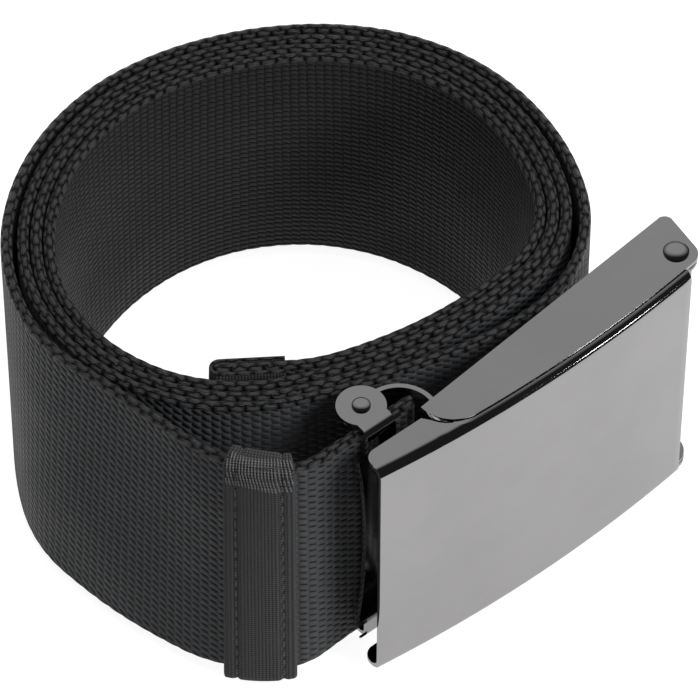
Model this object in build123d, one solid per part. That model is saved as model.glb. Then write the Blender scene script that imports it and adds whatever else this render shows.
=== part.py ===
from build123d import *
import os
from math import sin, cos, tan, radians, degrees, hypot

# ---------------------------------------------------------------- driving dimensions, mm
# Everything is drawn on the buckle's own axes: X runs along the buckle, -Y is its face,
# Z is up, and the clamp pin stands at x = 0, y = 0.  The finished part is moved at the
# end, so that its origin is the bottom centre of its bounding box.

# Webbing strap
strap_width = 50.0
strap_thickness = 1.9
turn_gap = 0.2                   # between turns of the roll
strap_edge_height = 2.0          # lower edge of the webbing above the lowest point
strap_end_past_wall = 0.6        # clamped end beyond the tip of the side walls

# Route of the outer turn, from the clamped end to where it joins the tight roll
lead_run = 18.2
keeper_side_radius = 8.25 + strap_thickness / 2
keeper_side_turn = 45.1
keeper_radius = 24.65 + strap_thickness / 2
keeper_turn = 35.0
left_run = 22.8
left_radius = 26.55 + strap_thickness / 2
left_turn = 29.2
far_left_radius = 44.95 + strap_thickness / 2
far_left_turn = 68.0
back_radius = 44.85 + strap_thickness / 2
back_turn = 122.2
corner_radius = 25.55 + strap_thickness / 2
corner_turn = 59.2
behind_radius = 53.35 + strap_thickness / 2
behind_turn = 16.2
behind_run = 11.9

# Tight roll: the facing (angle of the outward normal) at each joint of its arcs
roll_turns = 3
facing_front = -84.0
facing_right = -28.4
facing_back = 96.0
facing_left = 154.5
facing_left_front = 245.2
roll_front_outside = 85.1        # radii of the outermost turn's outer face
roll_back_outside = 44.9

# Inner end of the strap and its binding
tip_front_turn = 24.0
tip_corner_radius = 26.0
tip_corner_turn = 18.0
tip_run = 0.5
binding_length = 12.0
binding_wall = 0.8
binding_overhang = 0.3

# Keeper loop
keeper_wall = 1.0
keeper_on_side_turn = 16.0       # degrees of the arc before its own that it covers
keeper_width_turn = 17.5
keeper_gap_face = 0.5
keeper_gap_edge = 0.3
keeper_edge_round = 0.95
keeper_travel = 10.0             # degrees about the centre of its arc

# Sheet metal and fits
frame_sheet = 0.8
cover_sheet = 0.8
bracket_sheet = 0.8
jaw_sheet = 0.8
strap_side_gap = 0.2             # webbing edge to the frame's side wall
side_gap = 0.2                   # between parts that slide past each other
seat_gap = 0.05                  # between parts of one body that are fastened together
pin_gap = 0.05                   # radial running clearance

# Buckle frame
wall_tip_x = 7.0
wall_tip_y = -6.04
wall_corner_radius = 6.3
wall_end_x = 62.9
wall_end_lean = 8.0              # degrees
wall_end_round = 1.4
wall_nose_round = 2.6
base_slope = 5.67                # degrees between the base plate and the X axis
hook_centre_x = 3.7
hook_radius = 6.5
hook_end_facing = -12.0

# Lever cover
cover_bow_radius = 259.0
cover_crown_x = 28.0
cover_crown_y = -14.2
cover_left_x = -6.0
cover_to_pin = 0.8               # its right end is this far short of the lever pin
cover_to_outside = 0.3           # from its edges to the frame's outer faces
cover_edge_radius = 2.1
cover_flange_depth = 5.1
cover_flange_round = 2.1
cover_to_wall = 0.4
rim_to_wall = 0.3
flange_to_wall = 1.2
flange_notch_radius = 7.4

# Lever bracket and cam
lever_pin_inset = 4.3            # from the frame's right end
lever_pin_y = -7.7
lever_pin_radius = 1.2
bracket_left_x = 4.0
bracket_to_pin = 3.1             # its web ends this far short of the lever pin
bracket_ear_reach = 12.6         # its ears start this far from the lever pin
bracket_side_room = 2.7          # to the frame's inner faces
bracket_ear_radius = 3.5
bracket_ear_tip_depth = 2.5
bracket_ear_back_facing = 120.0  # where the arm's edges leave the round ear
bracket_ear_front_facing = -37.0
cam_radius = 2.7
cam_tooth_radius = 3.9
cam_tooth_depth = 0.8
cam_tooth_count = 4
cam_lobe_width = 4.4
cam_side_room = 1.2              # to the frame's inner faces
lever_travel = 110.0             # degrees

# Clamp jaw
clamp_pin_radius = 0.9
jaw_ear_radius = 4.0
jaw_ear_gap = 0.4                # webbing edge to the ear
jaw_neck_left = -3.0
jaw_neck_right = 2.6
jaw_plate_left = -4.8
jaw_plate_right = 1.6
jaw_plate_inset = 4.4            # from the webbing's edges
jaw_neck_inset = 2.6
jaw_bend_radius = 1.8
jaw_plate_gap = 0.65
jaw_edge_bow = 1.5
jaw_tooth_count = 13
jaw_tooth_pitch = 2.8
jaw_tooth_height = 0.35
jaw_tooth_radius = 0.5
jaw_tooth_tip_radius = 0.12
jaw_travel = 10.0                # degrees

# Rivet heads
lever_head_radius = 2.1
lever_head_height = 1.0
clamp_head_radius = 1.5
clamp_head_height = 0.75
head_shoulder = 0.25

# Sewing thread
thread_width = 0.5
thread_height = 0.3
thread_stitch = 2.2
thread_stitch_gap = 0.8
keeper_stitch_inset = 1.75
tip_stitch_inset = 1.5

# ---------------------------------------------------------------- derived sizes
mid_z = strap_edge_height + strap_width / 2
half_strap = strap_thickness / 2
turn_pitch = strap_thickness + turn_gap
roll_front_radius = roll_front_outside - half_strap - (roll_turns - 0.5) * turn_pitch
roll_back_radius = roll_back_outside - half_strap - (roll_turns - 0.5) * turn_pitch
tip_front_radius = roll_front_radius - turn_pitch / 2
frame_inner_half = strap_width / 2 + strap_side_gap
frame_outer_half = frame_inner_half + frame_sheet
lever_pin_x = wall_end_x - lever_pin_inset
cover_right_x = lever_pin_x - cover_to_pin
cover_half_height = frame_outer_half - cover_to_outside
bracket_right_x = lever_pin_x - bracket_to_pin
bracket_ear_left_x = lever_pin_x - bracket_ear_reach
bracket_half_height = frame_inner_half - bracket_side_room
cam_half_length = frame_inner_half - cam_side_room
jaw_plate_half_height = strap_width / 2 - jaw_plate_inset
jaw_neck_half_height = strap_width / 2 - jaw_neck_inset
knuckle_inner = clamp_pin_radius + pin_gap
knuckle_outer = knuckle_inner + frame_sheet
strap_seat_y = -(knuckle_outer + side_gap + half_strap)
strap_end_x = wall_tip_x + strap_end_past_wall
hook_centre_y = knuckle_outer - hook_radius
jaw_ear_inner = strap_width / 2 + jaw_ear_gap
jaw_ear_outer = jaw_ear_inner + jaw_sheet
jaw_face_y = strap_seat_y - half_strap - jaw_plate_gap - jaw_sheet
bow_centre_y = cover_crown_y + cover_bow_radius
wall_bow_radius = cover_bow_radius - cover_sheet - cover_to_wall
rim_bow_radius = wall_bow_radius + rim_to_wall
keeper_half_height = strap_width / 2 + keeper_gap_edge + keeper_wall
far = 200.0                      # reach of the cutting shapes
cut_room = 5.0                   # cutting shapes run on this far past a face
join = 0.1                       # overlap of shapes that are joined into one


def outward(facing):
    """Unit vector at an angle in the plan."""
    return cos(radians(facing)), sin(radians(facing))


def bow_y(radius, x):
    """Y of the bowed surface of that radius about the cover's centre of curvature."""
    return bow_centre_y - (radius ** 2 - (x - cover_crown_x) ** 2) ** 0.5


def solve_roll():
    """Radii of the two corner arcs that close the roll's plan shape."""
    left_front = outward(facing_left_front)
    left = outward(facing_left)
    right = outward(facing_right)
    front = outward(facing_front)
    a = (right[0] - front[0], right[1] - front[1])
    b = (left_front[0] - left[0], left_front[1] - left[1])
    c = [-roll_back_radius * (left[i] - right[i])
         - roll_front_radius * (front[i] - left_front[i]) for i in (0, 1)]
    det = a[0] * b[1] - a[1] * b[0]
    right_radius = (c[0] * b[1] - c[1] * b[0]) / det
    left_front_radius = (a[0] * c[1] - a[1] * c[0]) / det
    return right_radius, left_front_radius


class Route:
    """The middle line of the webbing in plan: straight runs and tangent arcs."""

    def __init__(self, x, y, facing):
        self.x = x
        self.y = y
        self.facing = facing
        self.legs = []
        self.length = 0.0

    def run(self, length):
        """Go straight on, clockwise round the roll."""
        n = outward(self.facing)
        start = (self.x, self.y)
        self.x += n[1] * length
        self.y -= n[0] * length
        self.legs.append(("run", start, (self.x, self.y), self.facing))
        self.length += length

    def bend(self, radius, turn):
        """Turn clockwise through an angle on an arc."""
        n = outward(self.facing)
        centre = (self.x - radius * n[0], self.y - radius * n[1])
        first = self.facing
        self.facing -= turn
        n = outward(self.facing)
        self.x = centre[0] + radius * n[0]
        self.y = centre[1] + radius * n[1]
        self.legs.append(("bend", centre, radius, first, self.facing))
        self.length += radius * radians(turn)

    def side(self, leg, offset):
        """The edge of one leg at that distance outside the middle line."""
        if leg[0] == "run":
            n = outward(leg[3])
            ends = [(p[0] + offset * n[0], p[1] + offset * n[1]) for p in leg[1:3]]
            return Edge.make_line(*ends)
        centre, radius = leg[1], leg[2] + offset
        facings = (leg[3], (leg[3] + leg[4]) / 2, leg[4])
        ends = [(centre[0] + radius * outward(f)[0], centre[1] + radius * outward(f)[1])
                for f in facings]
        return Edge.make_three_point_arc(*ends)

    def ribbon(self, low, high):
        """The plan face between two offsets from the middle line."""
        outer = [self.side(leg, high) for leg in self.legs]
        inner = [self.side(leg, low) for leg in self.legs]
        start = Edge.make_line(inner[0] @ 0, outer[0] @ 0)
        end = Edge.make_line(inner[-1] @ 1, outer[-1] @ 1)
        return Face(Wire(outer + inner + [start, end]))


def strap_route():
    """Walk the strap from the clamped end, round the roll, to its inner end."""
    route = Route(strap_end_x, strap_seat_y, 270.0)
    route.run(lead_run)
    route.bend(keeper_side_radius, keeper_side_turn)
    route.bend(keeper_radius, keeper_turn)
    route.run(left_run)
    route.bend(left_radius, left_turn)
    route.bend(far_left_radius, far_left_turn)
    route.bend(back_radius, back_turn)
    route.bend(corner_radius, corner_turn)
    route.bend(behind_radius, behind_turn)
    route.run(behind_run)
    right_corner, left_corner = solve_roll()
    for turn in reversed(range(roll_turns)):
        outset = (turn + 0.5) * turn_pitch
        route.bend(roll_front_radius + outset, route.facing - (facing_left_front - 360))
        route.bend(left_corner + outset, facing_left_front - facing_left)
        route.bend(roll_back_radius + outset, facing_left - facing_back)
        outset = turn * turn_pitch
        route.bend(roll_back_radius + outset, facing_back - facing_right)
        route.bend(right_corner + outset, facing_right - facing_front)
        route.facing = facing_front
    route.bend(tip_front_radius, tip_front_turn)
    route.bend(tip_corner_radius, tip_corner_turn)
    route.run(tip_run)
    return route


def prism(face, low, high):
    """Extrude a plan face between two heights measured from the middle height."""
    return extrude(face.moved(Location((0, 0, mid_z + low))), high - low, dir=(0, 0, 1))


def both_sides(build):
    """Union of a shape made for the upper side and its mirror image below."""
    upper = build()
    lower = upper.mirror(Plane.XY.offset(mid_z))
    return upper + lower


def plan_polygon(*points):
    """Plan face with straight sides."""
    return Face(Wire.make_polygon(points, close=True))


def plan_box(x_low, x_high, y_low, y_high):
    """Plan rectangle."""
    return plan_polygon((x_low, y_low), (x_high, y_low), (x_high, y_high), (x_low, y_high))


def disc(x, y, radius):
    """Plan disc."""
    return Face(Wire.make_circle(radius, Plane((x, y, 0))))


# ---------------------------------------------------------------- webbing and its tapes
route = strap_route()


def webbing_strap():
    """The webbing with its inner end inside the binding."""
    full = strap_route()
    full.run(binding_length - binding_wall)
    half = strap_width / 2
    return prism(full.ribbon(-half_strap, half_strap), -half, half)


def tip_binding():
    """Tape folded round the inner end of the strap."""
    tail = Route(route.x, route.y, route.facing)
    tail.run(binding_length)
    inside = Route(route.x, route.y, route.facing)
    inside.run(binding_length - binding_wall)
    half = strap_width / 2
    wall = half_strap + binding_wall
    shell = prism(tail.ribbon(-wall, wall), -half, half)
    return shell - prism(inside.ribbon(-half_strap, half_strap), -half, half)


def keeper_route():
    """The keeper's stretch of the strap's middle line."""
    start = Route(strap_end_x, strap_seat_y, 270.0)
    start.run(lead_run)
    start.bend(keeper_side_radius, keeper_side_turn - keeper_on_side_turn)
    piece = Route(start.x, start.y, start.facing)
    piece.bend(keeper_side_radius, keeper_on_side_turn)
    piece.bend(keeper_radius, keeper_width_turn)
    return piece


def keeper_loop():
    """Closed loop of tape round the outer turn."""
    piece = keeper_route()
    hole = half_strap + keeper_gap_face
    outer = hole + keeper_wall
    body = prism(piece.ribbon(-outer, outer), -keeper_half_height, keeper_half_height)
    long_edges = [e for e in body.edges() if abs(e.center().Z - mid_z) > keeper_half_height - 0.01
                  and e.geom_type == GeomType.CIRCLE]
    body = fillet(long_edges, keeper_edge_round)
    half = strap_width / 2 + keeper_gap_edge
    return body - prism(piece.ribbon(-hole, hole), -half, half)


# ---------------------------------------------------------------- buckle frame
def base_line_y(x):
    """Y of the back surface of the base plate."""
    return wall_tip_y + (x - wall_tip_x) * tan(radians(base_slope))


def corner_vertex(face, x, y):
    """The corner of a plan face nearest to a point."""
    return sorted(face.vertices(), key=lambda v: hypot(v.X - x, v.Y - y))[0]


def side_wall_face():
    """Plan outline of the frame's side wall: straight back, bowed front, leaning end."""
    lean = tan(radians(wall_end_lean))
    front_y = cover_crown_y - cut_room
    block = plan_polygon(
        (wall_tip_x, base_line_y(wall_tip_x)),
        (wall_end_x, base_line_y(wall_end_x)),
        (wall_end_x + lean * front_y, front_y),
        (wall_tip_x, front_y))
    face = block & disc(cover_crown_x, bow_centre_y, wall_bow_radius)
    left = corner_vertex(face, wall_tip_x, bow_y(wall_bow_radius, wall_tip_x))
    face = fillet(left, wall_corner_radius)
    nose = corner_vertex(face, wall_end_x, bow_y(wall_bow_radius, wall_end_x))
    face = fillet(nose, wall_nose_round)
    heel = corner_vertex(face, wall_end_x, base_line_y(wall_end_x))
    return fillet(heel, wall_end_round)


def hook_face():
    """Plan section of the hook and the knuckle that wraps the clamp pin."""
    ring = disc(hook_centre_x, hook_centre_y, hook_radius)
    ring = ring - disc(hook_centre_x, hook_centre_y, hook_radius - frame_sheet)
    end = outward(hook_end_facing)
    wedge = plan_polygon(
        (hook_centre_x, hook_centre_y),
        (hook_centre_x + far * end[0], hook_centre_y + far * end[1]),
        (hook_centre_x + far, hook_centre_y + far),
        (hook_centre_x, hook_centre_y + far))
    tail = plan_box(0, hook_centre_x, knuckle_inner, knuckle_outer)
    knuckle = disc(0, 0, knuckle_outer) - disc(0, 0, knuckle_inner)
    knuckle = knuckle - plan_box(0, knuckle_outer + 1, 0, knuckle_inner)
    return (ring & wedge) + tail + knuckle


def base_face():
    """Plan section of the sloping base plate."""
    left_x = hook_centre_x + hook_radius - frame_sheet
    right_x = wall_end_x - wall_end_round
    drop = frame_sheet / cos(radians(base_slope))
    return plan_polygon(
        (left_x, base_line_y(left_x) - drop),
        (right_x, base_line_y(right_x) - drop),
        (right_x, base_line_y(right_x)),
        (left_x, base_line_y(left_x)))


def buckle_frame():
    """Base plate, side walls, hook and knuckle, pressed from one sheet."""
    wall = side_wall_face() - disc(lever_pin_x, lever_pin_y, lever_pin_radius)
    walls = both_sides(lambda: prism(wall, frame_inner_half, frame_outer_half))
    base = prism(base_face(), -frame_outer_half, frame_outer_half)
    hook = prism(hook_face(), -frame_inner_half, frame_inner_half)
    return walls + base + hook


# ---------------------------------------------------------------- lever
def bowed_channel(outer_radius, half_height, edge_radius, depth, x_low, x_high):
    """Solid bar with a bowed front, round long front edges and straight ends."""
    face = disc(cover_crown_x, bow_centre_y, outer_radius)
    y_back = bow_y(outer_radius, cover_crown_x) + depth
    face = face & plan_box(x_low, x_high, cover_crown_y - cut_room, y_back)
    bar = prism(face, -half_height, half_height)
    front = [e for e in bar.edges().filter_by(GeomType.CIRCLE)
             if abs(abs(e.center().Z - mid_z) - half_height) < 0.01]
    return fillet(front, edge_radius)


def notch_face():
    """Plan area that the cover's flanges leave to the frame's walls."""
    left_x = wall_tip_x - flange_to_wall
    area = plan_box(left_x, cover_right_x + far, cover_crown_y - cut_room, far)
    area = area & disc(cover_crown_x, bow_centre_y, rim_bow_radius)
    corner = corner_vertex(area, left_x, bow_y(rim_bow_radius, left_x))
    return fillet(corner, flange_notch_radius)


def lever_cover():
    """Bowed cover with a rolled rim and deeper flanges at its free end."""
    flange_back = cover_flange_depth + cover_crown_x ** 2 / (2 * cover_bow_radius)
    outer = bowed_channel(cover_bow_radius, cover_half_height, cover_edge_radius,
                          flange_back, cover_left_x, cover_right_x)
    inner = bowed_channel(cover_bow_radius - cover_sheet, cover_half_height - cover_sheet,
                          cover_edge_radius - cover_sheet, far,
                          cover_left_x - 1, cover_right_x + 1)
    shell = outer - inner
    heel = [e for e in shell.edges().filter_by(Axis.Z)
            if abs(e.center().X - cover_left_x) < 0.01 and e.center().Y > cover_crown_y + cut_room]
    shell = fillet(heel, cover_flange_round)
    return shell - prism(notch_face(), -cover_half_height - 1, cover_half_height + 1)


def ear_outline():
    """Plan outline of the bracket's ear, inside the frame's wall."""
    left = bracket_ear_left_x
    right = bracket_right_x
    inner_radius = wall_bow_radius - side_gap
    back = [bracket_ear_radius * value for value in outward(bracket_ear_back_facing)]
    front = [bracket_ear_radius * value for value in outward(bracket_ear_front_facing)]
    arm = plan_polygon(
        (left, bow_y(inner_radius, left) + bracket_ear_tip_depth),
        (lever_pin_x + back[0], lever_pin_y + back[1]),
        (lever_pin_x + front[0], lever_pin_y + front[1]),
        (right, bow_y(inner_radius, right)),
        (right, cover_crown_y - cut_room),
        (left, cover_crown_y - cut_room))
    arm = arm & disc(cover_crown_x, bow_centre_y, inner_radius)
    return arm + disc(lever_pin_x, lever_pin_y, bracket_ear_radius)


def lever_bracket():
    """Inner channel that carries the cover and turns on the lever pin."""
    ear_outer = frame_inner_half - side_gap
    ear_inner = ear_outer - bracket_sheet
    outer_radius = cover_bow_radius - cover_sheet - seat_gap
    inner_radius = outer_radius - bracket_sheet
    ring = disc(cover_crown_x, bow_centre_y, outer_radius)
    ring = ring - disc(cover_crown_x, bow_centre_y, inner_radius)
    web = prism(ring & plan_box(bracket_left_x, bracket_right_x, cover_crown_y - cut_room, 0),
                -bracket_half_height, bracket_half_height)
    shoulder_outer = wall_bow_radius - side_gap
    ring = disc(cover_crown_x, bow_centre_y, shoulder_outer)
    ring = ring - disc(cover_crown_x, bow_centre_y, shoulder_outer - bracket_sheet)
    shoulder = prism(ring & plan_box(bracket_ear_left_x, bracket_right_x, cover_crown_y - cut_room, 0),
                     -ear_outer, ear_outer)
    bore = disc(lever_pin_x, lever_pin_y, lever_pin_radius + pin_gap)
    ear = ear_outline() - bore
    ears = both_sides(lambda: prism(ear, ear_inner, ear_outer))
    return web + shoulder + ears


def cam_bar():
    """Toothed cam that pins a threaded strap against the base plate."""
    root_radius = cam_tooth_radius - cam_tooth_depth
    section = disc(lever_pin_x, lever_pin_y, cam_radius)
    half = cam_lobe_width / 2
    section = section + plan_box(lever_pin_x - half, lever_pin_x + half,
                                 lever_pin_y, lever_pin_y + root_radius)
    pitch = cam_lobe_width / cam_tooth_count
    for index in range(cam_tooth_count):
        left = lever_pin_x - half + index * pitch
        section = section + plan_polygon(
            (left, lever_pin_y + root_radius - join),
            (left + pitch, lever_pin_y + root_radius - join),
            (left + pitch, lever_pin_y + root_radius),
            (left + pitch / 2, lever_pin_y + cam_tooth_radius),
            (left, lever_pin_y + root_radius))
    section = section - disc(lever_pin_x, lever_pin_y, lever_pin_radius + pin_gap)
    return prism(section, -cam_half_length, cam_half_length)


# ---------------------------------------------------------------- pins and jaw
def riveted_pin(x, y, radius, seat_half, head_radius, head_height):
    """Pin with a domed head at each end."""
    shaft = prism(disc(x, y, radius), -seat_half, seat_half)
    dome = head_height - head_shoulder
    ball_radius = (head_radius ** 2 + dome ** 2) / (2 * dome)

    def head():
        base = prism(disc(x, y, head_radius), seat_half, seat_half + head_height)
        ball = Sphere(ball_radius)
        centre_z = mid_z + seat_half + head_height - ball_radius
        return base & ball.moved(Location((x, y, centre_z)))

    return shaft + both_sides(head)


def lever_pin():
    """Pivot of the lever, riveted through both side walls."""
    return riveted_pin(lever_pin_x, lever_pin_y, lever_pin_radius, frame_outer_half,
                       lever_head_radius, lever_head_height)


def clamp_pin():
    """Pivot of the jaw, through the knuckle and both ears."""
    return riveted_pin(0, 0, clamp_pin_radius, jaw_ear_outer + pin_gap,
                       clamp_head_radius, clamp_head_height)


def jaw_plate_face():
    """Front view of the jaw: a plate with necks and a hollow left edge."""
    outer = jaw_ear_outer + join
    neck = plan_box(jaw_neck_left, jaw_neck_right, -outer, outer)
    plate = plan_box(jaw_plate_left, jaw_plate_right, -jaw_plate_half_height,
                     jaw_plate_half_height)
    chord = 2 * jaw_plate_half_height
    bow_radius = chord ** 2 / (8 * jaw_edge_bow) + jaw_edge_bow / 2
    hollow = disc(jaw_plate_left + jaw_edge_bow - bow_radius, 0, bow_radius)
    return (neck + plate) - hollow


def clamp_jaw():
    """Jaw with an ear at each end that clamps the webbing against the knuckle."""
    neck = plan_box(jaw_neck_left, jaw_neck_right, jaw_face_y, 0)
    plate_room = plan_box(jaw_plate_left, far, jaw_face_y, jaw_face_y + jaw_sheet)
    ear = disc(0, 0, jaw_ear_radius)
    blank = prism(plan_box(-far, far, jaw_face_y, far), -jaw_ear_outer, jaw_ear_outer)
    bends = [e for e in blank.edges().filter_by(Axis.X) if abs(e.center().Y - jaw_face_y) < 0.01]
    blank = fillet(bends, jaw_bend_radius)
    hollow = prism(plan_box(-far - 1, far + 1, jaw_face_y + jaw_sheet, far + 1),
                   -jaw_ear_inner, jaw_ear_inner)
    bends = [e for e in hollow.edges().filter_by(Axis.X)
             if abs(e.center().Y - jaw_face_y - jaw_sheet) < 0.01]
    hollow = fillet(bends, jaw_bend_radius - jaw_sheet)
    sheet = blank - hollow
    plan = prism(neck + plate_room + ear, -jaw_ear_outer, jaw_ear_outer)
    front = extrude(Plane(origin=(0, 0, mid_z), x_dir=(1, 0, 0), z_dir=(0, -1, 0))
                    * jaw_front_face(), 3 * jaw_ear_radius, both=True)
    jaw = sheet & plan & front
    bore = disc(0, 0, clamp_pin_radius + pin_gap)
    jaw = jaw - both_sides(lambda: prism(bore, jaw_ear_inner - join, jaw_ear_outer + join))
    return jaw + jaw_teeth()


def jaw_front_face():
    """Front view outline with the ears' full width kept behind the plate."""
    outer = jaw_ear_outer + join
    upper_ear = plan_box(-jaw_ear_radius, jaw_ear_radius, jaw_ear_inner, outer)
    lower_ear = plan_box(-jaw_ear_radius, jaw_ear_radius, -outer, -jaw_ear_inner)
    return jaw_plate_face() + upper_ear + lower_ear


def jaw_teeth():
    """Row of points on the inside of the plate that bite into the webbing."""
    tooth = Cone(jaw_tooth_radius, jaw_tooth_tip_radius, jaw_tooth_height + join)
    tooth = tooth.moved(Location((0, 0, 0), (-90, 0, 0)))
    y = jaw_face_y + jaw_sheet + (jaw_tooth_height - join) / 2
    x = jaw_plate_left + jaw_edge_bow + 2 * jaw_tooth_radius
    first = -(jaw_tooth_count - 1) / 2 * jaw_tooth_pitch
    return [tooth.moved(Location((x, y, mid_z + first + i * jaw_tooth_pitch)))
            for i in range(jaw_tooth_count)]


# ---------------------------------------------------------------- sewing thread
def stitch_column(piece, low, high):
    """Vertical line of stitches on a face of the given stretch of strap."""
    pitch = thread_stitch + thread_stitch_gap
    count = int((strap_width - pitch) / pitch)
    first = -count * pitch / 2 + thread_stitch_gap / 2
    face = piece.ribbon(low, high)
    return [prism(face, first + i * pitch, first + i * pitch + thread_stitch)
            for i in range(count)]


def keeper_thread():
    """Two lines of stitches down the front of the keeper."""
    front = half_strap + keeper_gap_face + keeper_wall
    stitches = []
    side, arc = keeper_route().legs
    near = side[3] - degrees(keeper_stitch_inset / side[2])
    away = arc[4] + degrees(keeper_stitch_inset / arc[2])
    for (_, centre, radius, _, _), facing in ((side, near), (arc, away)):
        half_turn = degrees(thread_width / 2 / (radius + front))
        n = outward(facing + half_turn)
        column = Route(centre[0] + radius * n[0], centre[1] + radius * n[1],
                       facing + half_turn)
        column.bend(radius, 2 * half_turn)
        stitches += stitch_column(column, front, front + thread_height)
    return stitches


def tip_thread():
    """One line of stitches through the binding, seen on both of its faces."""
    wall = half_strap + binding_wall
    column = Route(route.x, route.y, route.facing)
    column.run(tip_stitch_inset)
    line = Route(column.x, column.y, column.facing)
    line.run(thread_width)
    inner = stitch_column(line, -wall - thread_height, -wall)
    outer = stitch_column(line, wall, wall + thread_height)
    return inner + outer


# ---------------------------------------------------------------- write the nodes
nodes = {
    "webbing_strap": webbing_strap(),
    "tip_binding": tip_binding(),
    "tip_thread": tip_thread(),
    "keeper_loop": keeper_loop(),
    "keeper_thread": keeper_thread(),
    "buckle_frame": buckle_frame(),
    "lever_cover": lever_cover(),
    "lever_bracket": lever_bracket(),
    "cam_bar": cam_bar(),
    "lever_pin": lever_pin(),
    "clamp_jaw": clamp_jaw(),
    "clamp_pin": clamp_pin(),
}


def as_compound(shape):
    """One compound of all the solids in a shape or a list of shapes."""
    shapes = shape if isinstance(shape, (list, tuple)) else [shape]
    solids = [solid for piece in shapes for solid in piece.solids()]
    return solids[0] if len(solids) == 1 else Compound(children=solids)


shapes = {name: as_compound(shape) for name, shape in nodes.items()}
box = Compound(children=[s.moved(Location()) for s in shapes.values()]).bounding_box()
shift = (-(box.min.X + box.max.X) / 2, -(box.min.Y + box.max.Y) / 2, -box.min.Z)

os.makedirs("parts", exist_ok=True)
for name, shape in shapes.items():
    export_step(shape.moved(Location(shift)), "parts/" + name + ".step")

keeper_leg = keeper_route().legs[1]
places = {"lever pin": (lever_pin_x, lever_pin_y), "clamp pin": (0, 0), "keeper arc": keeper_leg[1]}
for name, place in places.items():
    print(name, round(place[0] + shift[0], 4), round(place[1] + shift[1], 4))
print("box", box.size)
print("travel", lever_travel, jaw_travel, keeper_travel)
print("shift", [round(value, 4) for value in shift])
print("strap length", round(route.length + binding_length - binding_wall, 1))
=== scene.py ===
"""Looks of a rolled dive weight belt: nylon webbing, a tape keeper and a steel lever buckle.

Sizes are in millimetres in the buckle's own plan: the clamp pin stands at the origin, X runs
along the buckle and -Y is its face.  Every mesh is scaled to metres where it is placed.
"""
import logging
import math
from dataclasses import dataclass, field
from enum import Enum
from typing import Callable, Iterable

import bmesh
import bpy
from mathutils import Matrix, Vector


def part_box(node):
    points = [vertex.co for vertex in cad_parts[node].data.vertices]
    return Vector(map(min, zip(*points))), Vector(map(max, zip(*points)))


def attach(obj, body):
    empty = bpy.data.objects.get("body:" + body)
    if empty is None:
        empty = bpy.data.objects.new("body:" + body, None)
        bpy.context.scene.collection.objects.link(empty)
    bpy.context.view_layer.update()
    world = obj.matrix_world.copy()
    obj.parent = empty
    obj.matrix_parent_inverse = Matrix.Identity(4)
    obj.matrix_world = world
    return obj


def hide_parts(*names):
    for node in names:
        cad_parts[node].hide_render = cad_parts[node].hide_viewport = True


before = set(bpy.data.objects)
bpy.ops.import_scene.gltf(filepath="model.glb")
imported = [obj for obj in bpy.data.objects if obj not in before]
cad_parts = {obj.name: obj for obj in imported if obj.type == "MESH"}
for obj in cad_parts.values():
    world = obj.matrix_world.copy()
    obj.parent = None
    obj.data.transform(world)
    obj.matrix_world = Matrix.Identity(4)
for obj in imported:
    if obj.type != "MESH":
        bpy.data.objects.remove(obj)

logging.basicConfig(level=logging.INFO, format="%(name)s: %(message)s")
log = logging.getLogger("dive_belt")

MM = 0.001
Flat = tuple[float, float, float]
Colour = tuple[float, float, float]
Socket = bpy.types.NodeSocket
Node = bpy.types.Node
Mesh = bmesh.types.BMesh
Sockets = bpy.types.bpy_prop_collection


def unit(angle: float) -> Vector:
    """Unit vector in plan at an angle in radians."""
    return Vector((math.cos(angle), math.sin(angle)))


def add_object(name: str, data: bpy.types.ID) -> bpy.types.Object:
    """Make an object from its data and put it in the scene.

    Args:
        name: the object's name.
        data: its mesh, camera or lamp.

    Returns:
        The new object.
    """
    made = bpy.data.objects.new(name, data)
    bpy.context.scene.collection.objects.link(made)
    return made


class Body(Enum):
    """The moving bodies of the belt."""

    BELT = "belt"
    LEVER = "lever"
    JAW = "jaw"
    KEEPER = "keeper"


class Slot(Enum):
    """The record's material slots."""

    WEBBING = "webbing"
    TAPE = "tape"
    THREAD = "thread"
    POLISHED = "polished_steel"
    SATIN = "steel"


# ------------------------------------------------------------------ the webbing's route
@dataclass(frozen=True)
class Leg:
    """One straight run or arc of a route, by the length at which it starts."""

    start: float
    length: float
    x: float
    y: float
    facing: float
    radius: float = 0.0

    def at(self, travel: float) -> tuple[Vector, Vector]:
        """Point and outward unit normal at a length along the whole route.

        Args:
            travel: length from the start of the whole route.

        Returns:
            The plan point and the unit normal that points outwards.
        """
        along = travel - self.start
        place, angle = Vector((self.x, self.y)), math.radians(self.facing)
        if self.radius:
            normal = unit(angle - along / self.radius)
            return place + normal * self.radius, normal
        normal = unit(angle)
        return place + Vector((normal.y, -normal.x)) * along, normal


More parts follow.
